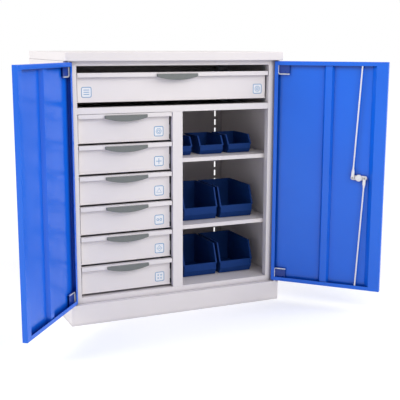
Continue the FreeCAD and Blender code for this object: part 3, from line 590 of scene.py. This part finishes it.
def build_hub_ring():
    """A raised ring on the cam's hub."""
    seat = lock_seat()
    base = height_near(seat, "lock_cam", (0, 0), HUB_RADIUS)
    section = (
        (RING_OUTER, 0.0),
        (RING_OUTER, RING_HIGH - RING_CHAMFER),
        (RING_OUTER - RING_CHAMFER, RING_HIGH),
        (RING_INNER + RING_CHAMFER, RING_HIGH),
        (RING_INNER, RING_HIGH - RING_CHAMFER),
        (RING_INNER, 0.0),
    )
    mesh = bmesh.new()
    loft(mesh, [seat.loop(circle(radius), base + rise) for radius, rise in section], closed=True)
    add_piece("lock_hub_ring", mesh, "lock", [MATERIALS["lock_white"]])


def build_rivet_heads():
    """Domed heads on the cam's two pins."""
    seat = lock_seat()
    mesh = bmesh.new()
    for rod in LOCK_RODS:
        away = Vector(JOINTS[f"{rod}_rod_pivot"]["pos_m"]) - seat.origin
        middle = (away.dot(seat.across), away.dot(seat.up))
        top = height_near(seat, "lock_cam", middle, PIN_RADIUS)
        loops = []
        for share, rise in RIVET_DOME:
            outline = shifted(circle(RIVET_RADIUS * share), middle)
            loops.append(seat.loop(outline, top + RIVET_HIGH * rise))
        loft(mesh, loops)
    add_piece("lock_rivet_heads", mesh, "lock", [RIVET_STEEL])


def build_ferrule(rod):
    """The taper between a lock rod's fork and its round shank."""
    points = [vertex.co for vertex in NODES[f"{rod}_lock_rod"].data.vertices]
    ends = sorted((min(point.z for point in points), max(point.z for point in points)),
                  reverse=rod == "lower")

    def middle(z):
        near = [point for point in points if abs(point.z - z) < END_REACH]
        low = [min(point[axis] for point in near) for axis in range(3)]
        high = [max(point[axis] for point in near) for axis in range(3)]
        return (Vector(low) + Vector(high)) / 2

    fork, tip = (middle(z) for z in ends)
    along = (tip - fork).normalized()
    out = lock_seat().out
    across = along.cross(out).normalized()
    start = fork + along * FORK_LONG
    loops = []
    for share, wide, thick in FERRULE_SECTIONS:
        centre = start + along * FERRULE_LONG * share
        loops.append([centre + across * x * wide + out * y * thick
                      for x, y in circle(1.0, FERRULE_CORNERS)])
    mesh = bmesh.new()
    loft(mesh, loops)
    add_piece(f"{rod}_rod_ferrule", mesh, f"{rod}_rod", [MATERIALS["lock_white"]])


for drawer in DRAWERS:
    build_hem(drawer)
for drawer, side, motif in BADGES:
    build_badge(drawer, side, motif)
build_hub_ring()
build_rivet_heads()
for rod in LOCK_RODS:
    build_ferrule(rod)


# Stage

def build_floor():
    """A pale floor that runs out into a white backdrop."""
    mesh = bpy.data.meshes.new("floor")
    mesh.from_pydata([(across * FLOOR_REACH, along * FLOOR_REACH, 0)
                      for across, along in ((-1, -1), (1, -1), (1, 1), (-1, 1))],
                     [], [(0, 1, 2, 3)])
    floor = placed("floor", mesh)
    net = Net("pale_floor")
    away = net.add("ShaderNodeVectorMath", {0: net.place}, operation="LENGTH").outputs["Value"]
    lift = net.combined("MULTIPLY", net.ranged(away, BACKDROP_SPAN, BACKDROP_LIFTS),
                        net.background_rays())
    net.set(Base_Color=FLOOR_COLOUR, Roughness=FLOOR_ROUGH, Specular_IOR_Level=0.0,
            Emission_Color=WHITE, Emission_Strength=lift)
    mesh.materials.append(net.material)


def build_world():
    """Even light from all round, with a white backdrop to be seen."""
    world = bpy.data.worlds.new("studio")
    bpy.context.scene.world = world
    world.use_nodes = True
    web = Web(world.node_tree)
    light = web.tree.nodes["Background"]
    web.give(light.inputs["Color"], WHITE)
    web.give(light.inputs["Strength"], AMBIENT)
    backdrop = web.add("ShaderNodeBackground", {"Color": WHITE, "Strength": BACKDROP_LEVEL})
    mix = web.add("ShaderNodeMixShader", {
        "Fac": web.background_rays(),
        1: light.outputs["Background"],
        2: backdrop.outputs["Background"],
    })
    web.give(web.tree.nodes["World Output"].inputs["Surface"], mix.outputs["Shader"])


def build_lamp(name, around, rise, level):
    """A square softbox."""
    around, rise = math.radians(around), math.radians(rise)
    away = Vector((math.sin(around) * math.cos(rise), -math.cos(around) * math.cos(rise),
                   math.sin(rise)))
    lamp = bpy.data.lights.new(name, "AREA")
    lamp.shape = "SQUARE"
    lamp.size = LAMP_SIZE
    # The watts that light a white surface to this level from so far away
    lamp.energy = level * math.pi ** 2 * LAMP_AWAY ** 2
    holder = placed(name, lamp)
    holder.location = Vector(LAMP_TARGET) + away * LAMP_AWAY
    holder.rotation_mode = "QUATERNION"
    holder.rotation_quaternion = away.to_track_quat("Z", "Y")


def build_camera():
    """The photograph's view."""
    yaw, pitch, roll = (math.radians(angle) for angle in CAMERA_TURNS)
    ahead = Vector((math.sin(yaw) * math.cos(pitch), math.cos(yaw) * math.cos(pitch),
                    -math.sin(pitch)))
    level = Vector((math.cos(yaw), -math.sin(yaw), 0))
    above = level.cross(ahead)
    right = math.cos(roll) * level + math.sin(roll) * above
    up = math.cos(roll) * above - math.sin(roll) * level
    data = bpy.data.cameras.new("camera")
    data.sensor_width = SENSOR_WIDE
    data.lens = SENSOR_WIDE * FOCAL_PIXELS / PICTURE_PIXELS
    data.clip_start, data.clip_end = CLIP_NEAR, CLIP_FAR
    camera = placed("camera", data)
    turned = Matrix((right, up, -ahead)).transposed()
    camera.matrix_world = Matrix.Translation(CAMERA_PLACE) @ turned.to_4x4()
    bpy.context.scene.camera = camera


build_floor()
build_world()
for name, (around, rise, level) in LAMPS.items():
    build_lamp(name, around, rise, level)
build_camera()
bpy.context.scene.view_settings.view_transform = "Standard"
